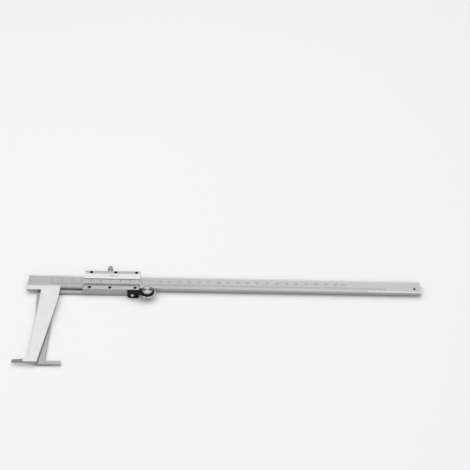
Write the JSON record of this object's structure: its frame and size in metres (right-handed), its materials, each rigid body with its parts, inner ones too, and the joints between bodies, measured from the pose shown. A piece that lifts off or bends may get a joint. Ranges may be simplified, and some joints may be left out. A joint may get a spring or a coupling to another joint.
{
  "type": "inside caliper",
  "caption": "Inside vernier caliper: crossed long jaws with outward tips under a flat beam, parted by a slide with vernier plates, gib, lock screw and thumb roller.",
  "frame": {"origin": "centre of the bounding box seen from the front, on the plane of the slide's back that the tool lies on", "axes": "+X along the beam, the way the slide opens; +Y from the jaw tips to the beam; +Z out of the scale face"},
  "size_m": [0.4028, 0.1348, 0.011],
  "materials": {
    "beam_steel": "satin, ground along the beam",
    "jaw_steel": "matt chrome, pale",
    "arm_steel": "satin, ground",
    "plate_steel": "matt chrome",
    "frame_steel": "satin, ground",
    "black_steel": "blackened screws",
    "black_bracket": "blackened steel",
    "bright_steel": "bright turned",
    "knurled_steel": "knurled, plated",
    "turned_chrome": "turned face, plated",
    "bronze": "plain bronze"
  },
  "bodies": {
    "beam": {"beam": "beam_steel", "fixed_jaw": "jaw_steel", "end_stop_screw": "black_steel"},
    "slide": {"slider_frame": "frame_steel", "upper_plate": "plate_steel", "lower_plate": "plate_steel", "upper_plate_screws": "black_steel", "lower_plate_screws": "black_steel", "gib_strip": "bronze", "gib_screws": "bright_steel", "sliding_jaw": "arm_steel", "jaw_screws": "bright_steel", "roller_bracket": "black_bracket", "bracket_screw": "bright_steel"},
    "roller": {"roller_wheel": "knurled_steel", "drive_roller": "bright_steel", "roller_axle": "bright_steel", "roller_washer": "bronze", "roller_cap": "turned_chrome"},
    "lock_pad": {"lock_pad": "bronze"},
    "lock_screw": {"lock_stem": "bright_steel", "lock_knob": "knurled_steel"}
  },
  "joints": [
    {"name": "slide_travel", "type": "slide", "parent": "beam", "child": "slide", "axis": [1, 0, 0], "range_m": [0, 0.253]},
    {"name": "roller_turn", "type": "hinge", "parent": "slide", "child": "roller", "pos_m": [-0.07755, 0.02925, 0.005], "axis": [0, 0, 1], "continuous": true},
    {"name": "pad_press", "type": "slide", "parent": "slide", "child": "lock_pad", "axis": [0, -1, 0], "range_m": [0, 0.0002]},
    {"name": "lock_turn", "type": "hinge", "parent": "lock_pad", "child": "lock_screw", "pos_m": [-0.11805, 0.06, 0.0047], "axis": [0, -1, 0], "range_deg": [0, 160]}
  ],
  "couplings": [
    {"joint": "roller_turn", "follows": "slide_travel", "rad_per_m": 156.25},
    {"joint": "lock_turn", "follows": "pad_press", "rad_per_m": 13960}
  ]
}
